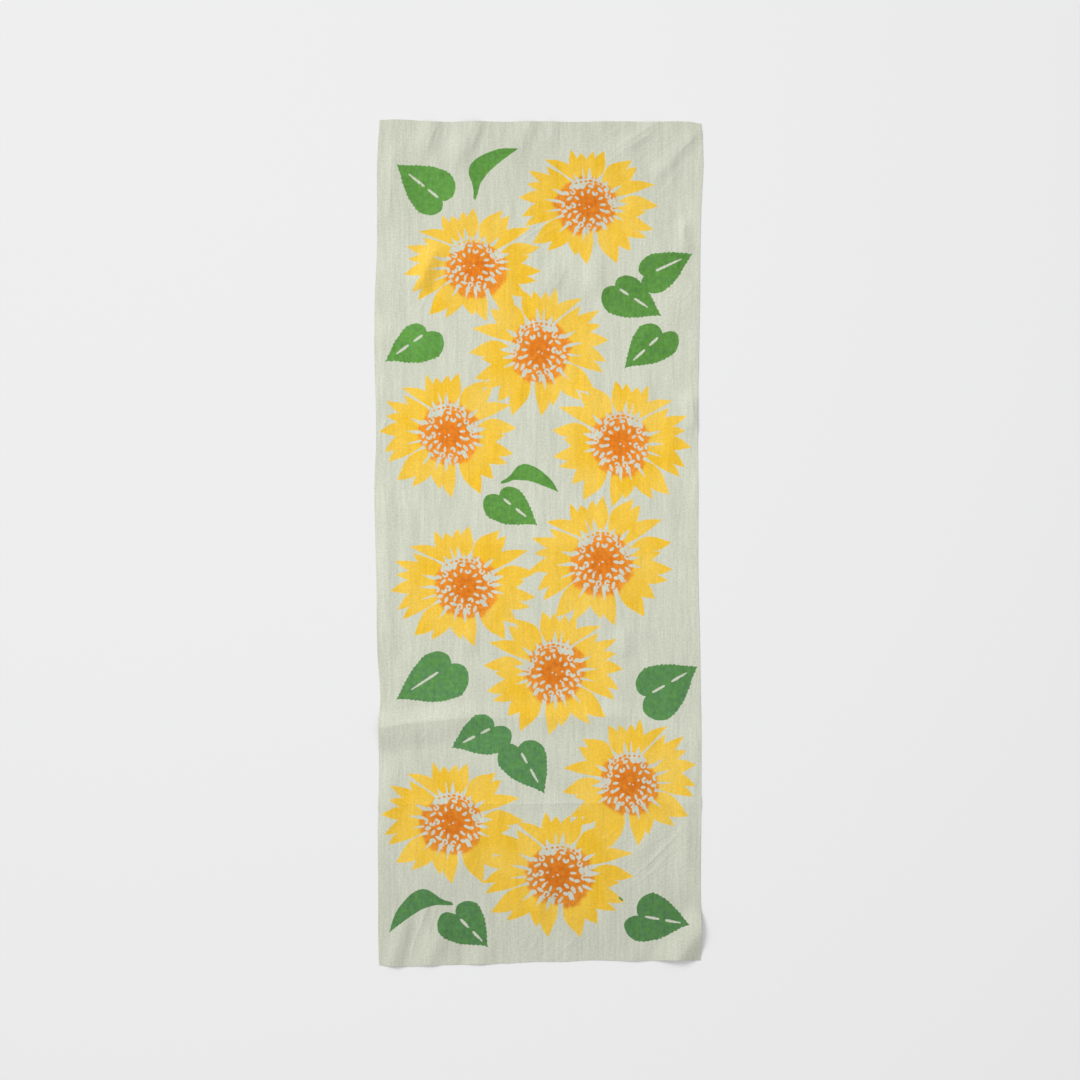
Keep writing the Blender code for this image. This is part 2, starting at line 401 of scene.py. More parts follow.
# The heart-shaped leaves. Columns: tip X and Y, notch X and Y, left half's width, its
# lobe's reach past the notch, right half's width, its lobe's reach, share of the green's
# full tone, and where the pale midrib shows, as shares of the way from tip to notch.
HEART_LEAVES = (
    (-151.5, 403.5, -102.5, 364.5, 27.5, 0.09, 24.5, 0.085, 1.03, (0.26, 0.60, 0.68, 0.90)),
    (165, 308, 113, 284, 23, 0.12, 18, 0.05, 0.90, (0.21, 0.76)),
    (131.5, 241.5, 82, 273.5, 27, 0.14, 19, 0.04, 0.88, (0.29, 0.58, 0.71, 0.89)),
    (92, 185.5, 133, 223, 21.5, 0.03, 23.5, 0.20, 0.89, (0.23, 0.53, 0.65, 0.87)),
    (-163.5, 192.5, -119, 224.5, 17, 0.02, 28, 0.20, 1.06, (0.26, 0.56, 0.68, 0.89)),
    (-1, 17.5, -42, 50, 25, 0.20, 17.5, 0.03, 0.93, (0.29, 0.56, 0.70, 0.88)),
    (-152, -168.5, -93, -130, 22.5, 0.03, 33.5, 0.15, 1.03, (0.26, 0.77)),
    (170.5, -133, 115, -165, 32.5, 0.16, 26, 0.08, 0.96, (0.21, 0.51, 0.64, 0.87)),
    (-93, -220.5, -46.5, -197, 19.5, 0.02, 28, 0.25, 1.04, (0.26, 0.54, 0.68, 0.88)),
    (6.5, -269, -21.5, -219.5, 27, 0.18, 23.5, 0.04, 0.98, (0.24, 0.53, 0.66, 0.87)),
    (-53.5, -433, -88.5, -398, 26.5, 0.22, 24, 0.11, 0.88, (0.18, 0.47, 0.60, 0.85)),
    (162, -409, 106.5, -399, 27, 0.23, 26, 0.05, 0.86, (0.18, 0.47, 0.59, 0.86)),
)
# The teeth stand on the blade from near its tip to its lobe, as shares of that half's line.
TOOTH_PITCH = 4.6
TOOTH_HEIGHT = 0.85
TOOTHED_SHARES = (0.04, 0.62)
MIDRIB_WIDTH = 2.8

# A slender leaf seen from the side, both of its edges on one side of the line from its
# foot to its tip. Columns: share along that line, outer edge and inner edge as shares.
SLENDER_LEAF = (
    (0.0, 0.022, -0.022),
    (0.06, 0.068, 0.0),
    (0.14, 0.16, 0.038),
    (0.22, 0.30, 0.08),
    (0.32, 0.372, 0.097),
    (0.45, 0.378, 0.105),
    (0.62, 0.32, 0.085),
    (0.82, 0.20, 0.045),
    (1.0, 0.0, 0.0),
)
# Columns: foot X and Y, tip X and Y, side of the bulge, 1 for left and -1 for right, share
# of the green's full tone.
SLENDER_LEAVES = (
    (-68.5, 366.5, -20.5, 420.5, 1, 1.0),
    (-40, 63.5, 22, 53, 1, 1.0),
    (-91.5, -386.5, -159.5, -417.5, -1, 0.90),
)
# A smear of green on a petal's tip. Columns: one end, the other end, half of its width.
GREEN_SMEAR = (87, -380, 90, -383.5, 1.3)

# Depths in the dye are worked out up to this distance from an outline, and distances from
# a crease up to the next one.
DEPTH_LIMIT = 4.0
NEAR_LINE = 2.0
# Grid points keep this far from the outlines of the print and from the creases, and every
# other row of them is shifted by this share of a step.
GRID_CLEARANCE = 0.85
GRID_SHIFT = 0.25
# A point this near to an outline lies on it, and an edge from one outline to another gets a
# point at its middle where that lies this far from both, in so many rounds.
ON_OUTLINE = 0.02
MISSED_BY = 0.28
MISSED_ROUNDS = 3
# A point this near to the cloth's edge lies on it.
ON_CLOTH_EDGE = 0.3
# What the triangulation is asked for: triangles inside the outline, and points nearer than
# this taken as one.
TRIANGLES_INSIDE = 1
SAME_POINT = 1e-4

# The noises in the cloth's colour and relief. Columns: name, whether it runs straight or
# wanders as the threads do, stretch across and along them, scale, detail, roughness.
NOISES = (
    ("warp", "straight", 1.0, 0.06, 900, 2, 0.65),
    ("weft", "straight", 0.07, 1.0, 1000, 2, 0.65),
    ("slubs", "wandering", 1.0, 0.06, 360, 2, 0.55),
    ("streaks", "wandering", 1.0, 0.13, 76, 3, 0.5),
    ("cloudy", "straight", 1.0, 0.7, 26, 3, 0.55),
    ("patchy", "straight", 1.0, 1.0, 120, 3, 0.6),
    ("specks", "straight", 1.0, 1.0, 210, 3, 0.7),
    ("grain", "straight", 1.0, 1.0, 480, 2, 0.6),
)

# The map laid out for baking has both faces side by side, each with a margin, and the rim lies outside
# them by so much of the map.
MAP_MARGIN = 8.0
RIM_PUSH = 0.0008
# Edges that turn by more degrees than this are shaded as sharp.
SHARP_ANGLE = 60

# The two square lamps, with their sides and places in metres.
WINDOW_LAMP_SIDE = 6.4
WINDOW_LAMP_PLACE = (-9.2, 8.4, 9.2)
OVERHEAD_LAMP_SIDE = 0.8
OVERHEAD_LAMP_PLACE = (-0.05, 0.12, 3.2)


def polar(direction, reach):
    """A point of the flat drawing, from its direction in degrees and its reach."""
    turn = math.radians(direction)
    return Vector((reach * math.cos(turn), reach * math.sin(turn)))


def petal_side(foot, tip, fullness, steps, rising):
    """One side of a petal, full near its foot and hollow near its tip, in its outline's order."""
    way = tip - foot
    outward = Vector((way.y, -way.x)) * (1 if rising else -1)
    line = []
    for step in range(steps):
        share = step / steps if rising else 1 - step / steps
        out = fullness * math.sin(math.pi * share) * (1.1 - 0.6 * share)
        line.append(foot + way * share + outward * out)
    return line


def smooth_line(points, steps):
    """A curve through all the points, with so many steps from each one to the next."""
    line = []
    last = len(points) - 1
    for i in range(last):
        before, a, b, after = points[max(i - 1, 0)], points[i], points[i + 1], points[min(i + 2, last)]
        for t in (step / steps for step in range(steps)):
            line.append(
                a * (2 * t**3 - 3 * t**2 + 1)
                + (b - before) / 2 * (t**3 - 2 * t**2 + t)
                + b * (3 * t**2 - 2 * t**3)
                + (after - a) / 2 * (t**3 - t**2)
            )
    return line + [points[-1]]


def stroke(line, half_widths):
    """The closed outline of a brush stroke along a line, with a round point at each end."""
    last = len(line) - 1
    left, right = [], []
    for i, (point, half_width) in enumerate(zip(line, half_widths)):
        way = (line[min(i + 1, last)] - line[max(i - 1, 0)]).normalized()
        side = Vector((-way.y, way.x)) * half_width
        left.append(point + side)
        right.append(point - side)
    first_way = (line[1] - line[0]).normalized() * half_widths[0]
    last_way = (line[-1] - line[-2]).normalized() * half_widths[-1]
    return [line[0] - first_way] + right + [line[-1] + last_way] + left[::-1]


def petal_outline():
    """The outline of the flower's yellow, counterclockwise, with its five gaps."""
    outline = []
    for clump, petals in enumerate(PETAL_CLUMPS):
        before, after = CLUMP_GAPS[clump - 1], CLUMP_GAPS[clump]
        foot = polar(before[0] + math.degrees(before[2] / 2 / before[1]), before[1])
        fullness, steps = before[4], GAP_SIDE_STEPS
        for (direction, reach, lean), following in zip(petals, petals[1:] + (None,)):
            tip = polar(direction, reach)
            outline += petal_side(foot, tip, fullness, steps, True)
            if following is None:
                foot = polar(after[0] - math.degrees(after[2] / 2 / after[1]), after[1])
                outline += petal_side(foot, tip, after[3], GAP_SIDE_STEPS, False) + [foot]
                break
            apart = following[0] - direction
            valley = VALLEY_BASE + VALLEY_SHARE * min(reach, following[1]) - VALLEY_DEEPENS * apart
            foot = polar(direction + apart * (0.5 + (lean + following[2]) / 2), valley)
            outline += petal_side(foot, tip, PETAL_FULLNESS * (1 + LEAN_FILLS * lean), SIDE_STEPS, False)
            fullness, steps = PETAL_FULLNESS * (1 - LEAN_FILLS * following[2]), SIDE_STEPS
    return outline


def pale_spike(direction, inner, outer, width):
    """A pale spike between two petals' feet: blunt at its inner end, thin at its outer."""
    shares = (0.0, 0.25, 0.6, 1.0)
    half_widths = (width * 0.36, width * 0.5, width * 0.34, width * 0.09)
    line = [polar(direction, inner + (outer - inner) * share) for share in shares]
    return stroke(line, half_widths)


def oval_seed(direction, reach, length, width, lean):
    """An oval that leans by so many degrees from the line to the disc's middle."""
    middle = polar(direction, reach)
    way = polar(direction + lean, length / 2 - width * 0.3)
    return stroke([middle - way, middle, middle + way], (width * 0.38, width * 0.5, width * 0.36))


def curled_seed(direction, reach, radius, opening, width, lean):
    """A seed bent into a hook or an open ring."""
    middle = polar(direction, reach)
    steps = 6
    start = direction + lean + opening / 2
    turn = (360 - opening) / steps
    line = [middle + polar(start + turn * step, radius) for step in range(steps + 1)]
    return stroke(line, [width / 2] * (steps + 1))


def seed_rings(draw):
    """Pale seeds: two uneven outer rows, a ring of short dashes, and dots near the middle."""
    seeds = []
    first, last = SEED_ROW_SPAN
    for i in range(2 * SEED_ROW_COUNT):
        far = i % 2
        direction = first + i * (last - first) / (2 * SEED_ROW_COUNT - 1) + draw.uniform(-4.5, 4.5)
        reach = SEED_ROW_REACHES[far] + draw.uniform(-1.6, 1.4)
        kind = draw.random()
        if kind < OVAL_SHARE:
            lean = draw.uniform(-50, 50) if far else draw.uniform(-90, 90)
            seeds.append(oval_seed(direction, reach, draw.uniform(5.0, 8.0), draw.uniform(3.0, 4.2), lean))
        elif kind < HOOK_SHARE:
            seeds.append(curled_seed(direction, reach, 2.1, 190, 2.8, draw.uniform(-90, 90)))
        else:
            seeds.append(curled_seed(direction, reach, 2.2, 90, 2.0, draw.uniform(-120, 120)))
    for i in range(INNER_SEED_COUNT):
        direction = 8 + i * 360 / INNER_SEED_COUNT + draw.uniform(-5, 5)
        reach = INNER_SEED_REACH + draw.uniform(-1.4, 1.6)
        if i % 4 == 2:
            seeds.append(curled_seed(direction, reach, 2.0, 170, 2.6, draw.uniform(-60, 60)))
        else:
            seeds.append(oval_seed(direction, reach, draw.uniform(5.2, 6.8), 2.9, draw.uniform(-20, 20)))
    for direction, reach, width in MIDDLE_DOTS:
        seeds.append(oval_seed(direction, reach, width * 1.1, width, 20))
    return seeds


def crown_patch():
    """The pale patch at the top of the disc: a band under the petals' feet, and blobs inside it."""
    line = [polar(direction, reach) for direction, reach, half_width in CROWN_BAND]
    shapes = [stroke(line, [row[2] for row in CROWN_BAND])]
    return shapes + [oval_seed(*row, 80) for row in CROWN_BLOBS]


def crown_dots():
    """Orange dots in the band of the pale patch."""
    return [oval_seed(*row, 85) for row in CROWN_DOTS]


def heart_outline(tip, notch, left_width, left_lobe, right_width, right_lobe):
    """A heart-shaped leaf's outline, with small teeth from its tip to its lobes."""
    way = notch - tip
    side = Vector((-way.y, way.x)).normalized()
    outline = []
    for sign, width, lobe in ((-1, right_width, right_lobe), (1, left_width, left_lobe)):
        half = []
        for along, lobe_adds, out, lobe_takes in HEART_HALF:
            aside = side * sign * width * (out - lobe_takes * lobe)
            half.append(tip + way * (along + lobe_adds * lobe) + aside)
        outline.append(add_teeth(smooth_line(half, 7), sign))
    return outline[0] + outline[1][::-1][1:-1]


def add_teeth(line, sign):
    """Points spread evenly along half a leaf, every other one drawn out as a tooth."""
    lengths = [0.0]
    for a, b in zip(line, line[1:]):
        lengths.append(lengths[-1] + (b - a).length)
    steps = max(2, round(lengths[-1] / (TOOTH_PITCH / 2)))
    toothed = []
    for step in range(steps + 1):
        at = lengths[-1] * step / steps
        i = min(max(k for k in range(len(line)) if lengths[k] <= at), len(line) - 2)
        share = (at - lengths[i]) / max(lengths[i + 1] - lengths[i], 1e-6)
        way = (line[i + 1] - line[i]).normalized()
        outward = Vector((-way.y, way.x)) * sign
        on_blade = TOOTHED_SHARES[0] < step / steps < TOOTHED_SHARES[1]
        height = 0.0
        if step % 2 and on_blade:
            height = TOOTH_HEIGHT * (1 + 0.4 * math.sin(2.3 * step + line[0].x))
        toothed.append(line[i].lerp(line[i + 1], share) + outward * height)
    return toothed


def midrib_dashes(tip, notch, shares):
    dashes = []
    for start, end in zip(shares[::2], shares[1::2]):
        ends = tip.lerp(notch, start), tip.lerp(notch, end)
        line = [ends[0].lerp(ends[1], t) for t in (0.04, 0.35, 0.7, 0.96)]
        widths = (0.22, 0.42, 0.5, 0.42) if start < 0.5 else (0.34, 0.5, 0.5, 0.4)
        dashes.append(stroke(line, [MIDRIB_WIDTH * share for share in widths]))
    return dashes


def slender_outline(foot, tip, bulge_side):
    way = tip - foot
    side = Vector((-way.y, way.x)) * bulge_side
    outer = smooth_line([foot + way * row[0] + side * row[1] for row in SLENDER_LEAF], 4)
    inner = smooth_line([foot + way * row[0] + side * row[2] for row in SLENDER_LEAF], 2)
    return outer + inner[::-1][1:]


def lay_out(outline, across, up, turn, stretch_across, stretch_along, lean, flipped):
    """Puts a flower's outline in its place on the cloth."""
    cos, sin = math.cos(math.radians(turn)), math.sin(math.radians(turn))
    placed = []
    for point in outline:
        x = -point.x if flipped else point.x
        turned_x, turned_y = x * cos - point.y * sin, x * sin + point.y * cos
        along = turned_y * stretch_along
        placed.append((across + turned_x * stretch_across + along * lean, up + along))
    return np.array(placed)


def depth_inside(points, outline):
    """How deep each point lies inside a closed outline, and below 0 outside it."""
    depth = np.full(len(points), -DEPTH_LIMIT)
    low, high = outline.min(axis=0) - DEPTH_LIMIT, outline.max(axis=0) + DEPTH_LIMIT
    near = np.flatnonzero(((points >= low) & (points <= high)).all(axis=1))
    if not len(near):
        return depth
    x, y = points[near, 0, None], points[near, 1, None]
    ax, ay = outline[:, 0], outline[:, 1]
    bx, by = np.roll(ax, -1), np.roll(ay, -1)
    way_x, way_y = bx - ax, by - ay
    share = ((x - ax) * way_x + (y - ay) * way_y) / np.maximum(way_x**2 + way_y**2, 1e-9)
    share = share.clip(0, 1)
    distance = np.hypot(x - ax - share * way_x, y - ay - share * way_y).min(axis=1)
    rises = (ay > y) != (by > y)
    slope = way_x / np.where(way_y == 0, 1e-12, way_y)
    inside = (rises & (x < ax + (y - ay) * slope)).sum(axis=1) % 2 == 1
    depth[near] = np.maximum(np.where(inside, distance, -distance), -DEPTH_LIMIT)
    return depth


class Print:
    """All outlines of the print on the cloth, and the dye that each point takes."""

    def __init__(self):
        draw = random.Random(11)
        petals = petal_outline()
        pale = [pale_spike(*row) for row in PALE_SPIKES] + seed_rings(draw) + crown_patch()
        groups = ([petals], pale, crown_dots())
        self.flowers = []
        for place in FLOWERS:
            parts = [[lay_out(shape, *place[:7]) for shape in group] for group in groups]
            self.flowers.append((place, parts))
        self.leaves = []
        for tip_x, tip_y, notch_x, notch_y, *halves, tone, shares in HEART_LEAVES:
            tip, notch = Vector((tip_x, tip_y)), Vector((notch_x, notch_y))
            blade = [np.array(heart_outline(tip, notch, *halves))]
            dashes = [np.array(dash) for dash in midrib_dashes(tip, notch, shares)]
            self.leaves.append((tone, blade, dashes))
        for foot_x, foot_y, tip_x, tip_y, side, tone in SLENDER_LEAVES:
            blade = slender_outline(Vector((foot_x, foot_y)), Vector((tip_x, tip_y)), side)
            self.leaves.append((tone, [np.array(blade)], []))
        x0, y0, x1, y1, half_width = GREEN_SMEAR
        smear = stroke([Vector((x0, y0)), Vector((x1, y1))], (half_width, half_width * 0.6))
        self.leaves.append((1.0, [np.array(smear)], []))

    def outlines(self):
        for place, parts in self.flowers:
            for group in parts:
                yield from group
        for tone, blade, dashes in self.leaves:
            yield from blade
            yield from dashes

    def dye(self, points):
        """Depths of the yellow and the green dye, the green's tone, and the nearest outline."""
        yellow = np.full(len(points), -DEPTH_LIMIT)
        green = yellow.copy()
        green_tone = np.ones(len(points))
        nearest = np.full(len(points), DEPTH_LIMIT)

        def read(shapes, start):
            deepest = start
            for shape in shapes:
                depth = depth_inside(points, shape)
                np.minimum(nearest, np.abs(depth), out=nearest)
                deepest = np.maximum(deepest, depth)
            return deepest

        far_out = np.full(len(points), -DEPTH_LIMIT)
        for place, (petals, pale, dots) in self.flowers:
            body = np.minimum(read(petals, far_out), -read(pale, far_out))
            yellow = np.maximum(yellow, np.maximum(body, read(dots, far_out)))
        for tone, blade, dashes in self.leaves:
            leaf = np.minimum(read(blade, far_out), -read(dashes, far_out))
            green_tone = np.where(leaf > green, tone, green_tone)
            green = np.maximum(green, leaf)
        return yellow, green, green_tone, nearest

    def disc_places(self, points):
        """Each point's place from the middle of its nearest flower, and that flower's number."""
        middles = np.array([place[:2] for place, parts in self.flowers])
        apart = points[:, None, :] - middles[None, :, :]
        number = np.hypot(apart[:, :, 0], apart[:, :, 1]).argmin(axis=1)
        return apart[np.arange(len(points)), number], number


def smooth_read(rows, column, at):
    """Reads one column of an edge table as a smooth curve, at many places."""
    table = np.array(sorted(rows))
    stations, values = table[:, 0], table[:, column]
    last = len(stations) - 1
    at = np.clip(at, stations[0], stations[-1])
    i = np.clip(np.searchsorted(stations, at, side="right") - 1, 0, last - 1)
    before, after = np.maximum(i - 1, 0), np.minimum(i + 2, last)
    span = stations[i + 1] - stations[i]
    slope_in = (values[i + 1] - values[before]) / (stations[i + 1] - stations[before])
    slope_out = (values[after] - values[i]) / (stations[after] - stations[i])
    t = (at - stations[i]) / span
    return (
        values[i] * (2 * t**3 - 3 * t**2 + 1)
        + slope_in * span * (t**3 - 2 * t**2 + t)
        + values[i + 1] * (3 * t**2 - 2 * t**3)
        + slope_out * span * (t**3 - t**2)
    )


def edges_beside(across, up):
    """Where the left, right, bottom and top edge of the cloth lie, beside each place."""
    left = -CLOTH_WIDTH / 2 - smooth_read(SIDE_EDGES, 1, up)
    right = CLOTH_WIDTH / 2 + smooth_read(SIDE_EDGES, 2, up)
    bottom = -CLOTH_LENGTH / 2 - smooth_read(END_EDGES, 2, across)
    top = CLOTH_LENGTH / 2 + smooth_read(END_EDGES, 1, across)
    return left, right, bottom, top


def outline_place(across_share, up_share):
    """Where points of the flat grid lie, their shares running from 0 to 1."""
    across, up = (across_share - 0.5) * CLOTH_WIDTH, (up_share - 0.5) * CLOTH_LENGTH
    left, right, bottom, top = edges_beside(across, up)
    return np.stack([left + (right - left) * across_share, bottom + (top - bottom) * up_share], axis=1)


def bump(share):
    """A smooth hump: 1 at 0, and flat on the ground from 1 on."""
    return np.where(share < 1, (1 - share * share) ** 2, 0.0)


def fold_rise(points, fold):
    """How high one fold lifts the cloth at each point."""
    name, x0, y0, x1, y1, rise, left_flank, right_flank, fade = fold
    length = math.hypot(x1 - x0, y1 - y0)
    along_x, along_y = (x1 - x0) / length, (y1 - y0) / length
    along = (points[:, 0] - x0) * along_x + (points[:, 1] - y0) * along_y
    aside = along_x * (points[:, 1] - y0) - along_y * (points[:, 0] - x0)
    flank = np.where(aside > 0, left_flank, right_flank)
    past_end = np.maximum(np.maximum(fade - along, along - (length - fade)), 0.0)
    share = np.minimum(np.abs(aside) / flank, 1.0)
    profile = (1 - CREST_SHARE) * bump(share) + CREST_SHARE * (1 - share) ** 2
    return rise * profile * bump(past_end / fade)


def bowed_line(x0, y0, x1, y1, bow=0.0, aside=0.0):
    """Points along a line whose middle bows to the left, or beside it, that far to the left."""
    start, way = np.array((x0, y0), dtype=float), np.array((x1 - x0, y1 - y0), dtype=float)
    length = np.hypot(*way)
    left = np.array((-way[1], way[0])) / length
    share = np.linspace(0.0, 1.0, max(3, round(length / CREASE_STEP)) + 1)[:, None]
    return start + way * share + left * (bow * 4 * share * (1 - share) + aside)


def crease_lines():
    """The main folds' crests, and each crease's crest and shoulders, for the cloth's mesh."""
    lines = [bowed_line(*fold[1:5]) for fold in MAIN_FOLDS]
    for name, *ends_and_bow, rise, left_flank, right_flank in CREASES:
        for aside in (0.0, CREASE_SHOULDER * left_flank, -CREASE_SHOULDER * right_flank):
            lines.append(bowed_line(*ends_and_bow, aside))
    for line in lines:
        from_side, from_end = edge_distances(line)
        line = line[np.minimum(from_side, from_end) > CREASE_CLEARANCE]
        if len(line) > 1:
            yield line


def near_line(points, line, reach):
    """Which points lie near a line, how far from it, how far along it, and if on its left."""
    low, high = line.min(axis=0) - reach, line.max(axis=0) + reach
    near = np.flatnonzero(((points >= low) & (points <= high)).all(axis=1))
    way = line[1:] - line[:-1]
    apart = points[near, None, :] - line[None, :-1, :]
    share = ((apart * way).sum(axis=2) / (way**2).sum(axis=1)).clip(0, 1)
    off = apart - share[:, :, None] * way
    distance = np.hypot(off[:, :, 0], off[:, :, 1])
    nearest = distance.argmin(axis=1)
    row = np.arange(len(near))
    aside = way[nearest, 0] * apart[row, nearest, 1] - way[nearest, 1] * apart[row, nearest, 0]
    along = (nearest + share[row, nearest]) / len(way)
    return near, distance[row, nearest], along, aside > 0


def crease_rise(points, crease):
    """How high one crease lifts the cloth at each point: a sharp crest with hollow flanks."""
    rise, left_flank, right_flank = crease[6:]
    reach = max(left_flank, right_flank)
    near, distance, along, on_left = near_line(points, bowed_line(*crease[1:6]), reach)
    flank = np.where(on_left, left_flank, right_flank)
    fade = np.minimum(1.0, np.minimum(along, 1 - along) / CREASE_FADE)
    profile = (1 - np.minimum(distance / flank, 1.0)) ** 2
    height = np.zeros(len(points))
    height[near] = rise * profile * fade * (2 - fade)
    return height


def edge_distances(points):
    """How far each point lies from the nearer long side, and from the nearer cut end."""
    left, right, bottom, top = edges_beside(points[:, 0], points[:, 1])
    from_side = np.minimum(points[:, 0] - left, right - points[:, 0])
    from_end = np.minimum(points[:, 1] - bottom, top - points[:, 1])
    return np.maximum(from_side, 0), np.maximum(from_end, 0)


def hand_ripples(points):
    """Shallow ripples that hands leave in the cloth, mostly along its warp."""
    draw = random.Random(5)
    height = np.zeros(len(points))
    for _ in range(RIPPLE_COUNT):
        wave = draw.uniform(*RIPPLE_WAVES)
        lean = math.radians(draw.gauss(0, RIPPLE_LEAN))
        strength = RIPPLE_STRENGTH * wave ** 0.8
        middle_x, middle_y = draw.uniform(-172, 172), draw.uniform(-450, 450)
        reach_x, reach_y = draw.uniform(25, 80), draw.uniform(60, 260)
        across = (points[:, 0] - middle_x) * math.cos(lean) + (points[:, 1] - middle_y) * math.sin(lean)
        along = (points[:, 1] - middle_y) * math.cos(lean) - (points[:, 0] - middle_x) * math.sin(lean)
        patch = bump(np.hypot(across / reach_x, along / reach_y))
        height += strength * patch * np.cos(across * 2 * math.pi / wave + draw.uniform(0, 6.28))
    return height


def cloth_height(points):
    """How high the underside of the cloth lies at each point, in millimetres."""
    height = np.zeros(len(points))
    for fold in MAIN_FOLDS:
        height += fold_rise(points, fold)
    for crease in CREASES:
        height += crease_rise(points, crease)
    from_side, from_end = edge_distances(points)
    near_edge = bump(np.minimum(from_side, from_end) / EDGE_REACH)
    near_corner = bump(np.hypot(from_side, from_end) / CORNER_REACH)
    height += EDGE_LIFT * near_edge * (1 - near_corner)
    settle = np.minimum(1.0, np.hypot(from_side, from_end) / CORNER_REACH)
    return np.maximum(height + hand_ripples(points) * settle, 0.0)


def edge_line(step_across, step_along):
    """Points round the cloth's outline, counterclockwise from its lower left corner."""
    columns = round(CLOTH_WIDTH / step_across)
    rows = round(CLOTH_LENGTH / step_along)
    across = np.arange(columns) / columns
    up = np.arange(rows) / rows
    shares = [
        np.stack([across, np.zeros(columns)], axis=1),
        np.stack([np.ones(rows), up], axis=1),
        np.stack([1 - across, np.ones(columns)], axis=1),
        np.stack([np.zeros(rows), 1 - up], axis=1),
    ]
    shares = np.concatenate(shares)
    return outline_place(shares[:, 0], shares[:, 1])


def inner_grid(step_across, step_along):
    """Points all over the cloth, in staggered rows."""
    columns = round(CLOTH_WIDTH / step_across)
    rows = round(CLOTH_LENGTH / step_along)
    shares = []
    for row in range(1, rows):
        shift = GRID_SHIFT if row % 2 else -GRID_SHIFT
        for column in range(1, columns):
            shares.append(((column + shift) / columns, row / rows))
    shares = np.array(shares)
    return outline_place(shares[:, 0], shares[:, 1])


def draw_flat(the_print, step_across, step_along):
    """The flat triangles of the cloth, with every outline of the print among their edges."""
    loops = [edge_line(step_across, step_along), *the_print.outlines()]
    creases = list(crease_lines())
    edges = []
    start = 0
    for line in loops + creases:
        count = len(line)
        edges += [(start + i, start + i + 1) for i in range(count - 1)]
        start += count
    start = 0
    for loop in loops:
        start += len(loop)
        edges.append((start - 1, start - len(loop)))
    fixed = np.concatenate(loops + creases)
    grid = inner_grid(step_across, step_along)
    clear = the_print.dye(grid)[-1] > GRID_CLEARANCE
    for line in creases:
        clear &= distance_to_line(grid, line) > GRID_CLEARANCE
    extra = grid[clear]
    for _ in range(MISSED_ROUNDS):
        points = np.concatenate([fixed, extra])
        spots = [Vector(point) for point in points.tolist()]
        made = delaunay_2d_cdt(spots, edges, [], TRIANGLES_INSIDE, SAME_POINT, False)
        spots = np.array([tuple(spot) for spot in made[0]])
        triangles = inside_outline(np.array(made[2]), spots, loops[0])
        added = missed_middles(the_print, spots, triangles)
        if not len(added):
            break
        extra = np.concatenate([extra, added])
    return spots, triangles


def inside_outline(triangles, spots, outline):
    """Leaves out the triangles that bridge the hollows of the cloth's edge."""
    from_side, from_end = edge_distances(spots)
    on_edge = np.minimum(from_side, from_end) < ON_CLOTH_EDGE
    doubtful = np.flatnonzero(on_edge[triangles].all(axis=1))
    outside = depth_inside(spots[triangles[doubtful]].mean(axis=1), outline) < 0
    return np.delete(triangles, doubtful[outside], axis=0)


def distance_to_line(points, line):
    """How far each point lies from a line, held at NEAR_LINE from there on."""
    distance = np.full(len(points), NEAR_LINE)
    near, apart, *_ = near_line(points, line, NEAR_LINE)
    distance[near] = np.minimum(apart, NEAR_LINE)
    return distance


def triangle_sides(triangles):
    return np.concatenate([triangles[:, [0, 1]], triangles[:, [1, 2]], triangles[:, [2, 0]]])


def missed_middles(the_print, spots, triangles):
    """Middles of the edges that run from one outline to another across what lies between."""
    sides = np.unique(np.sort(triangle_sides(triangles), axis=1), axis=0)
    on_outline = the_print.dye(spots)[-1] < ON_OUTLINE
    both = on_outline[sides[:, 0]] & on_outline[sides[:, 1]]
    middles = (spots[sides[both, 0]] + spots[sides[both, 1]]) / 2
    return middles[the_print.dye(middles)[-1] > MISSED_BY]


def fill_attribute(mesh, name, values):
    attribute = mesh.attributes.new(name, "FLOAT", "POINT")
    attribute.data.foreach_set("value", np.ascontiguousarray(values, dtype=np.float32))


def fill_map(mesh, name, corners):
    layer = mesh.uv_layers.new(name=name, do_init=False)
    layer.uv.foreach_set("vector", np.ascontiguousarray(corners, dtype=np.float32).ravel())


def rim_sides(triangles):
    """The triangles' sides that lie on the cloth's outline, each in its triangle's own sense."""
    sides = triangle_sides(triangles)
    key = np.sort(sides, axis=1)
    _, first, count = np.unique(key, axis=0, return_index=True, return_counts=True)
    return sides[first[count == 1]]


def cloth_mesh(spots, triangles, thickness):
    """Closes the flat drawing into a sheet: its face, its underside and the rim between."""
    count = len(spots)
    underside = cloth_height(spots)
    middle = (spots.min(axis=0) + spots.max(axis=0)) / 2
    flat = (spots - middle) * MM
    top = np.column_stack([flat, (underside + thickness / MM) * MM])
    bottom = np.column_stack([flat, underside * MM])
    rim = rim_sides(triangles)
    a, b = rim[:, 0], rim[:, 1]
    lower_half = np.stack([a, a + count, b + count], axis=1)
    upper_half = np.stack([a, b + count, b], axis=1)
    rim_faces = np.concatenate([lower_half, upper_half])
    faces = np.concatenate([triangles, triangles[:, ::-1] + count, rim_faces])
    mesh = bpy.data.meshes.new(CLOTH_NODE + "_sheet")
    mesh.from_pydata(np.concatenate([top, bottom]).tolist(), [], faces.tolist())
    mesh.shade_smooth()
    mesh.set_sharp_from_angle(angle=math.radians(SHARP_ANGLE))
    return mesh, faces, count


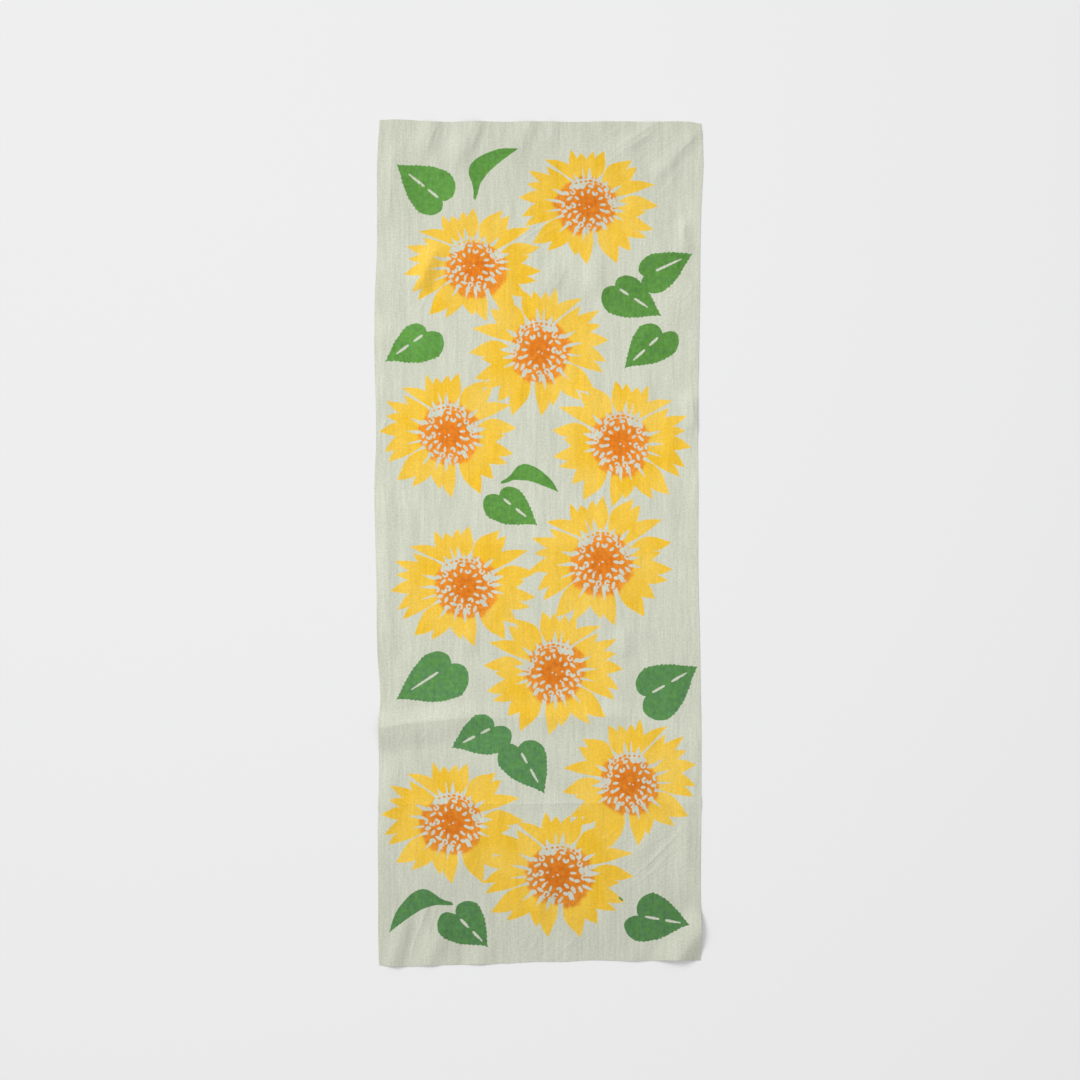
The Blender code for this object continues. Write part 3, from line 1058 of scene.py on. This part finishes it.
def cloth_maps(mesh, faces, count, spots):
    """A map in metres along the threads, and one with both faces side by side."""
    both = np.concatenate([spots, spots])
    corner = faces.ravel()
    place = both[corner]
    fill_map(mesh, "threads", place * MM)
    size = np.array((CLOTH_WIDTH + 2 * MAP_MARGIN, CLOTH_LENGTH + 2 * MAP_MARGIN))
    share = (place + size / 2) / size
    on_back = (faces.min(axis=1) >= count).repeat(3)
    outward = np.where((corner >= count) & ~on_back, 1.0, 0.0)
    push = np.sign(place) * outward[:, None] * RIM_PUSH
    left = np.where(on_back, 0.5, 0.0)
    fill_map(mesh, "OFBake", np.column_stack([left + share[:, 0] * 0.5, share[:, 1]]) + push)


def cloth_dye(mesh, the_print, spots):
    """Writes each point's dye, its painted light and shade, and where its crinkles lean on the mesh, the
    same on the face and the underside.
    """
    yellow, green, green_tone, _ = the_print.dye(spots)
    place, number = the_print.disc_places(spots)
    # Painted shade: the cloth is painted darker towards its right side.
    darker = RIGHT_SIDE_PAINTED_SHADE * spots[:, 0] / (CLOTH_WIDTH / 2)
    for name, values in (
        ("yellow_depth", yellow),
        ("green_depth", green),
        ("green_tone", green_tone),
        ("disc_depth", disc_depth(place, number)),
        # Painted light and shade along the length, with the painted shade at the right side.
        ("painted_light_and_shade", read_along_length(spots, 1) * (1.0 - darker)),
        ("cool_share", read_along_length(spots, 2)),
        ("drag_share", drag_share(spots)),
    ):
        fill_attribute(mesh, name, np.concatenate([values, values]))


def read_along_length(points, column):
    """Reads one column of the table along the cloth's length at each point: the painted light and shade,
    or the bluish green.
    """
    rows = np.array(SHADE_AND_GREEN_ALONG_LENGTH)
    return np.interp(points[:, 1], rows[:, 0], rows[:, column])


def drag_share(points):
    """Where the small crinkles lean, as if a hand had dragged the cloth, and by how much."""
    share = np.zeros(len(points))
    for x, y, reach_x, reach_y in DRAG_ZONES:
        away = np.hypot((points[:, 0] - x) / reach_x, (points[:, 1] - y) / reach_y)
        share = np.maximum(share, bump(away))
    return share


def disc_depth(place, number):
    """How deep a point lies inside its flower's orange, which bleeds out unevenly."""
    draw = random.Random(23)
    reach = np.zeros(len(number))
    stretch = np.array([row[3:5] for row in FLOWERS])
    place = place / stretch[number]
    direction = np.arctan2(place[:, 1], place[:, 0])
    for flower, row in enumerate(FLOWERS):
        flipped, run_way, run = row[6:]
        mine = number == flower
        crown = math.radians(row[2] + CROWN_DIRECTIONS[flipped])
        towards_crown = np.maximum(np.cos(direction[mine] - crown), 0) ** 2
        reach[mine] = DISC_REACH - CROWN_HOLDS * towards_crown
        reach[mine] += run * np.cos(direction[mine] - math.radians(run_way))
        for waves, strength in DISC_WAVES:
            start = draw.uniform(0, 2 * math.pi)
            uneven = strength * draw.uniform(0.5, 1.2) * np.cos(waves * direction[mine] + start)
            reach[mine] += uneven * (1 - towards_crown)
    return reach - np.hypot(place[:, 0], place[:, 1])


class NodeDesk:
    """Adds nodes to one material and links them, so that a pattern reads line by line."""

    def __init__(self, material):
        material.use_nodes = True
        self.tree = material.node_tree
        self.shader = self.tree.nodes["Principled BSDF"]

    def put(self, socket, value):
        if isinstance(value, bpy.types.NodeSocket):
            self.tree.links.new(value, socket)
        else:
            socket.default_value = value

    def node(self, kind, inputs, **settings):
        """A new node with its settings, each named input linked to a socket or given a value."""
        node = self.tree.nodes.new("ShaderNode" + kind)
        for name, value in settings.items():
            setattr(node, name, value)
        for name, value in inputs.items():
            self.put(node.inputs[name], value)
        return node

    def attribute(self, name):
        return self.node("Attribute", {}, attribute_name=name).outputs["Fac"]

    def map(self, name):
        return self.node("UVMap", {}, uv_map=name).outputs["UV"]

    def math(self, operation, a, b=0.0, clamp=False):
        return self.node("Math", {0: a, 1: b}, operation=operation, use_clamp=clamp).outputs[0]

    def stretched(self, vector, x, y):
        """The vector scaled on its own X and Y."""
        return self.node("VectorMath", {0: vector, 1: (x, y, 1.0)}, operation="MULTIPLY").outputs[0]

    def noise(self, vector, scale, detail, roughness):
        inputs = {"Vector": vector, "Scale": scale, "Detail": detail, "Roughness": roughness}
        return self.node("TexNoise", inputs, noise_dimensions="2D").outputs["Fac"]

    def warped(self, vector, scale, reach):
        """The vector pushed about by a slow noise, so that what reads it wanders."""
        slow = self.node("TexNoise", {"Vector": vector, "Scale": scale}, noise_dimensions="2D")
        inputs = {0: slow.outputs["Color"], 1: (reach, reach, 0.0), 2: vector}
        return self.node("VectorMath", inputs, operation="MULTIPLY_ADD").outputs[0]

    def turned(self, vector, degrees):
        """The vector turned about Z, so that its Y runs along a line that leans to the right."""
        inputs = {"Vector": vector, "Angle": math.radians(degrees)}
        return self.node("VectorRotate", inputs, rotation_type="Z_AXIS").outputs[0]

    def ridges(self, value):
        """Thin ridges where a noise passes its middle value."""
        away = self.math("ABSOLUTE", self.math("SUBTRACT", value, 0.5))
        return self.spread(away, 0.0, 0.14, 1.0, 0.0, smooth=True)

    def spread(self, value, low, high, to_low=0.0, to_high=1.0, smooth=False):
        """Maps a value's range onto another one, held at its ends."""
        inputs = {"Value": value, "From Min": low, "From Max": high, "To Min": to_low, "To Max": to_high}
        kind = "SMOOTHSTEP" if smooth else "LINEAR"
        return self.node("MapRange", inputs, interpolation_type=kind).outputs["Result"]

    def mix(self, share, first, second, blend="MIX"):
        inputs = {"Factor": share, "A": first, "B": second}
        node = self.node("Mix", inputs, data_type="RGBA", blend_type=blend)
        return next(output for output in node.outputs if output.type == "RGBA")

    def bump(self, height, distance, strength, normal=None):
        inputs = {"Strength": strength, "Distance": distance, "Height": height}
        if normal is not None:
            inputs["Normal"] = normal
        return self.node("Bump", inputs).outputs["Normal"]


def linear(red, green, blue):
    """A colour as a screen shows it, from 0 to 255, in the linear values that nodes take."""
    def one(value):
        share = value / 255
        return share / 12.92 if share <= 0.04045 else ((share + 0.055) / 1.055) ** 2.4
    return (one(red), one(green), one(blue), 1.0)


def wavering_threads(desk):
    """The map along the threads, wandering a little to each side as they do."""
    return desk.warped(desk.map("threads"), 9.0, 0.006)


def weave_noises(desk):
    """What makes the cloth uneven, each as a noise from 0 to 1: its threads, and its dye."""
    maps = {"straight": desk.map("threads"), "wandering": wavering_threads(desk)}
    noises = {}
    for name, way, across, along, scale, detail, roughness in NOISES:
        noises[name] = desk.noise(desk.stretched(maps[way], across, along), scale, detail, roughness)
    return noises


def sway(desk, noise, reach, middle=0.0):
    """A noise turned into a value that sways about its middle by that much."""
    return desk.spread(noise, 0.3, 0.7, middle - reach, middle + reach)


def speckled(desk, colour, noise, reach):
    """A colour made lighter and darker by a noise."""
    return desk.mix(1.0, colour, sway(desk, noise, reach, 1.0), "MULTIPLY")


def flower_colour(desk, settings, noises):
    """The yellow of the petals, with the orange of the disc bled into it."""
    disc = desk.attribute("disc_depth")
    bleed = desk.math("ADD", disc, sway(desk, noises["patchy"], 1.4))
    bleed = desk.math("ADD", bleed, sway(desk, noises["cloudy"], 1.6))
    orange_share = desk.spread(bleed, -3.2, 1.8, smooth=True)

    deep_share = desk.spread(noises["cloudy"], 0.3, 0.68)
    yellow = desk.mix(deep_share, settings.yellow_light, settings.yellow_deep)
    slub_share = desk.spread(noises["slubs"], 0.42, 0.8, 0.0, 0.5)
    yellow = desk.mix(slub_share, yellow, settings.yellow_deep)
    yellow = speckled(desk, yellow, noises["specks"], 0.03)

    orange = desk.mix(desk.spread(disc, 2.0, 22.0), settings.orange_light, settings.orange_deep)
    thin_share = desk.spread(noises["patchy"], 0.4, 0.7, 0.0, 0.5)
    orange = desk.mix(thin_share, orange, settings.orange_light)
    grain_share = desk.spread(noises["grain"], 0.42, 0.7, 0.0, 0.8)
    orange = desk.mix(grain_share, orange, settings.orange_deep)
    orange = speckled(desk, orange, noises["specks"], 0.13)
    # The orange also takes the painted light and shade along the cloth and at its right side.
    orange = desk.mix(1.0, orange, desk.attribute("painted_light_and_shade"), "MULTIPLY")
    return desk.mix(orange_share, yellow, orange)


def leaf_colour(desk, settings, noises):
    """The green of the leaves, with its bluish patches and each leaf's own tone."""
    cool = desk.math("ADD", desk.attribute("cool_share"), sway(desk, noises["patchy"], 0.3), clamp=True)
    thin_share = desk.spread(noises["cloudy"], 0.3, 0.7)
    green = desk.mix(thin_share, settings.green_deep, settings.green_light)
    green = desk.mix(cool, green, settings.green_blue)
    green = speckled(desk, green, noises["specks"], 0.14)
    return desk.mix(1.0, green, desk.attribute("green_tone"), "MULTIPLY")


def dyed_colour(desk, settings, noises):
    """The ground, and each dye where the cloth has taken it, with an edge that follows threads."""
    wobble = desk.math("ADD", sway(desk, noises["warp"], 0.2), sway(desk, noises["weft"], 0.2))
    wobble = desk.math("ADD", wobble, sway(desk, noises["patchy"], 0.12))
    soft = settings.dye_softness / MM
    ground_share = desk.spread(noises["cloudy"], 0.3, 0.7)
    colour = desk.mix(ground_share, settings.ground_dark, settings.ground_light)
    for depth, dye in (
        ("yellow_depth", flower_colour(desk, settings, noises)),
        ("green_depth", leaf_colour(desk, settings, noises)),
    ):
        share = desk.spread(desk.math("ADD", desk.attribute(depth), wobble), -soft, soft, smooth=True)
        colour = desk.mix(share, colour, dye)
    return colour


def woven_tone(desk, noises):
    """How light the cloth is, thread by thread, in grains and in streaks, with painted light and shade
    along its length and painted shade at its right side.
    """
    tone = sway(desk, noises["slubs"], 0.044, 1.0)
    for name, reach in (("warp", 0.025), ("weft", 0.02), ("grain", 0.07), ("streaks", 0.031)):
        tone = desk.math("ADD", tone, sway(desk, noises[name], reach))
    # Painted light and shade along the cloth, and painted shade at its right side.
    return desk.math("MULTIPLY", tone, desk.attribute("painted_light_and_shade"))


def woven_relief(desk, noises):
    """Fine crinkles, streaks, slubs and threads as bump, leaning where the cloth was dragged."""
    upright = desk.ridges(desk.noise(desk.stretched(wavering_threads(desk), 1.0, 0.2), 70.0, 2.0, 0.5))
    turned = desk.turned(desk.warped(desk.map("threads"), 12.0, 0.008), DRAG_LEAN)
    leaning = desk.ridges(desk.noise(desk.stretched(turned, 1.0, 0.16), 95.0, 2.0, 0.5))
    drag = desk.attribute("drag_share")
    upright = desk.math("MULTIPLY", upright, desk.math("SUBTRACT", 1.0, drag))
    crinkles = desk.math("ADD", desk.math("MULTIPLY", leaning, drag), upright)
    normal = desk.bump(crinkles, 0.00022, 0.6)
    normal = desk.bump(noises["streaks"], 0.0010, 0.5, normal)
    normal = desk.bump(noises["slubs"], 0.00012, 0.6, normal)
    weave = desk.math("ADD", noises["warp"], noises["weft"])
    return desk.bump(weave, 0.00008, 0.5, normal)


def dyed_cotton(settings):
    """Plain-woven cotton with its ground colour, its yellow, orange and green dyes."""
    material = bpy.data.materials.new("dyed_cotton")
    desk = NodeDesk(material)
    noises = weave_noises(desk)
    colour = dyed_colour(desk, settings, noises)
    colour = desk.mix(1.0, colour, woven_tone(desk, noises), "MULTIPLY")
    desk.put(desk.shader.inputs["Base Color"], colour)
    desk.put(desk.shader.inputs["Roughness"], desk.spread(noises["streaks"], 0.3, 0.7, 0.82, 0.93))
    desk.shader.inputs["Specular IOR Level"].default_value = 0.18
    desk.shader.inputs["Sheen Weight"].default_value = 0.05
    desk.shader.inputs["Sheen Roughness"].default_value = 0.5
    desk.put(desk.shader.inputs["Normal"], woven_relief(desk, noises))
    return material


class TenuguiClothSettings(PropertyGroup):
    """Sizes and dyes of the cloth."""

    sheet_thickness: FloatProperty(
        name="Sheet thickness", description="How thick the woven cotton is",
        default=0.0005, unit="LENGTH"
    )
    step_across: FloatProperty(
        name="Step across", description="Distance between points across the cloth",
        default=0.003, unit="LENGTH"
    )
    step_along: FloatProperty(
        name="Step along", description="Distance between points along the cloth",
        default=0.004, unit="LENGTH"
    )
    dye_softness: FloatProperty(
        name="Dye softness", description="How far a dyed edge fades to each side",
        default=0.00028, unit="LENGTH"
    )
    ground_light: FloatVectorProperty(
        name="Ground, light", description="The ground where it is lightest", size=4, subtype="COLOR",
        default=linear(203, 206, 189)
    )
    ground_dark: FloatVectorProperty(
        name="Ground, dark", description="The ground where it is darkest", size=4, subtype="COLOR",
        default=linear(198, 201, 184)
    )
    yellow_light: FloatVectorProperty(
        name="Yellow, thin", description="The petals where the dye is thin", size=4, subtype="COLOR",
        default=linear(237, 200, 88)
    )
    yellow_deep: FloatVectorProperty(
        name="Yellow, deep", description="The petals where the dye is deep", size=4, subtype="COLOR",
        default=linear(232, 186, 46)
    )
    orange_light: FloatVectorProperty(
        name="Orange, thin", description="The discs where the dye is thin", size=4, subtype="COLOR",
        default=linear(232, 150, 50)
    )
    orange_deep: FloatVectorProperty(
        name="Orange, deep", description="The discs where the dye is deep", size=4, subtype="COLOR",
        default=linear(212, 115, 24)
    )
    green_light: FloatVectorProperty(
        name="Green, thin", description="The leaves where the dye is thin", size=4, subtype="COLOR",
        default=linear(101, 157, 71)
    )
    green_deep: FloatVectorProperty(
        name="Green, deep", description="The leaves where the dye is deep", size=4, subtype="COLOR",
        default=linear(87, 141, 60)
    )
    green_blue: FloatVectorProperty(
        name="Green, bluish", description="The leaves' bluish patches", size=4, subtype="COLOR",
        default=linear(86, 134, 84)
    )


class TenuguiStageSettings(PropertyGroup):
    """The floor, the light and the camera."""

    floor_side: FloatProperty(
        name="Floor side", description="Side of the square floor", default=6.0, unit="LENGTH"
    )
    floor_colour: FloatVectorProperty(
        name="Floor colour", description="The pale floor", size=4, subtype="COLOR",
        default=(0.80, 0.80, 0.805, 1.0)
    )
    sky_strength: FloatProperty(
        name="Sky strength", description="Even light from all round", default=0.47
    )
    window_power: FloatProperty(
        name="Window lamp's power", description="The soft lamp at the upper left",
        default=1440.0, unit="POWER"
    )
    overhead_power: FloatProperty(
        name="Overhead lamp's power", description="The soft lamp above the cloth",
        default=25.0, unit="POWER"
    )
    lens: FloatProperty(name="Lens", description="Focal length in millimetres", default=85.0)
    camera_height: FloatProperty(
        name="Camera height", description="Above the floor", default=2.726, unit="LENGTH"
    )
    camera_across: FloatProperty(
        name="Camera across", description="Right of the middle", default=0.0015, unit="LENGTH"
    )
    camera_along: FloatProperty(
        name="Camera along", description="Towards the top", default=0.0031, unit="LENGTH"
    )


class TENUGUI_OT_cloth(Operator):
    """Makes the dyed cloth with its folds"""

    bl_idname = "tenugui.cloth"
    bl_label = "Cloth"

    def execute(self, context):
        settings = context.scene.tenugui_cloth
        the_print = Print()
        spots, triangles = draw_flat(the_print, settings.step_across / MM, settings.step_along / MM)
        mesh, faces, count = cloth_mesh(spots, triangles, settings.sheet_thickness)
        cloth_maps(mesh, faces, count, spots)
        cloth_dye(mesh, the_print, spots)
        mesh.materials.append(dyed_cotton(settings))
        cloth = bpy.data.objects.new("printed_cloth", mesh)
        context.scene.collection.objects.link(cloth)
        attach(cloth, "root")
        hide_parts(CLOTH_NODE)
        return {"FINISHED"}


class TENUGUI_OT_stage(Operator):
    """Makes the floor, the light and the camera"""

    bl_idname = "tenugui.stage"
    bl_label = "Stage"

    def execute(self, context):
        settings = context.scene.tenugui_stage
        make_floor(settings)
        make_light(context, settings)
        make_camera(context, settings)
        context.scene.view_settings.view_transform = "Standard"
        return {"FINISHED"}


def make_floor(settings):
    bpy.ops.object.select_all(action="DESELECT")
    bpy.ops.mesh.primitive_plane_add(size=settings.floor_side, location=(0, 0, 0))
    floor = bpy.context.object
    floor.name = "floor"
    material = bpy.data.materials.new("pale_floor")
    desk = NodeDesk(material)
    desk.shader.inputs["Base Color"].default_value = settings.floor_colour
    desk.shader.inputs["Roughness"].default_value = 0.9
    desk.shader.inputs["Specular IOR Level"].default_value = 0.2
    floor.data.materials.append(material)


def make_light(context, settings):
    world = bpy.data.worlds.new("even_sky")
    world.use_nodes = True
    sky = world.node_tree.nodes["Background"]
    sky.inputs["Color"].default_value = (1.0, 1.0, 1.0, 1.0)
    sky.inputs["Strength"].default_value = settings.sky_strength
    context.scene.world = world
    make_lamp(context, "window_lamp", WINDOW_LAMP_SIDE, settings.window_power, WINDOW_LAMP_PLACE)
    make_lamp(context, "overhead_lamp", OVERHEAD_LAMP_SIDE, settings.overhead_power, OVERHEAD_LAMP_PLACE)


def make_lamp(context, name, side, power, location):
    """A square lamp that faces the middle of the cloth."""
    lamp = bpy.data.lights.new(name, "AREA")
    lamp.shape = "SQUARE"
    lamp.size = side
    lamp.energy = power
    place = bpy.data.objects.new(name, lamp)
    place.location = location
    place.rotation_euler = (-place.location).to_track_quat("-Z", "Y").to_euler()
    context.scene.collection.objects.link(place)


def make_camera(context, settings):
    camera = bpy.data.cameras.new("camera_above")
    camera.lens = settings.lens
    camera.sensor_width = 36.0
    place = bpy.data.objects.new("camera_above", camera)
    place.location = (settings.camera_across, settings.camera_along, settings.camera_height)
    context.scene.collection.objects.link(place)
    context.scene.camera = place


class TENUGUI_PT_sidebar(Panel):
    """Lists the cloth and its stage"""

    bl_label = "Spread tenugui"
    bl_idname = "TENUGUI_PT_sidebar"
    bl_space_type = "VIEW_3D"
    bl_region_type = "UI"
    bl_category = "Tenugui"

    def draw(self, context):
        for settings, operator in (
            (context.scene.tenugui_cloth, TENUGUI_OT_cloth),
            (context.scene.tenugui_stage, TENUGUI_OT_stage),
        ):
            box = self.layout.box()
            box.operator(operator.bl_idname)
            for name in settings.__annotations__:
                box.prop(settings, name)


CLASSES = (
    TenuguiClothSettings,
    TenuguiStageSettings,
    TENUGUI_OT_cloth,
    TENUGUI_OT_stage,
    TENUGUI_PT_sidebar,
)


def register():
    for each in CLASSES:
        bpy.utils.register_class(each)
    bpy.types.Scene.tenugui_cloth = PointerProperty(type=TenuguiClothSettings)
    bpy.types.Scene.tenugui_stage = PointerProperty(type=TenuguiStageSettings)


def unregister():
    del bpy.types.Scene.tenugui_stage
    del bpy.types.Scene.tenugui_cloth
    for each in reversed(CLASSES):
        bpy.utils.unregister_class(each)


def main():
    register()
    bpy.ops.tenugui.stage()
    bpy.ops.tenugui.cloth()


if __name__ == "__main__":
    main()
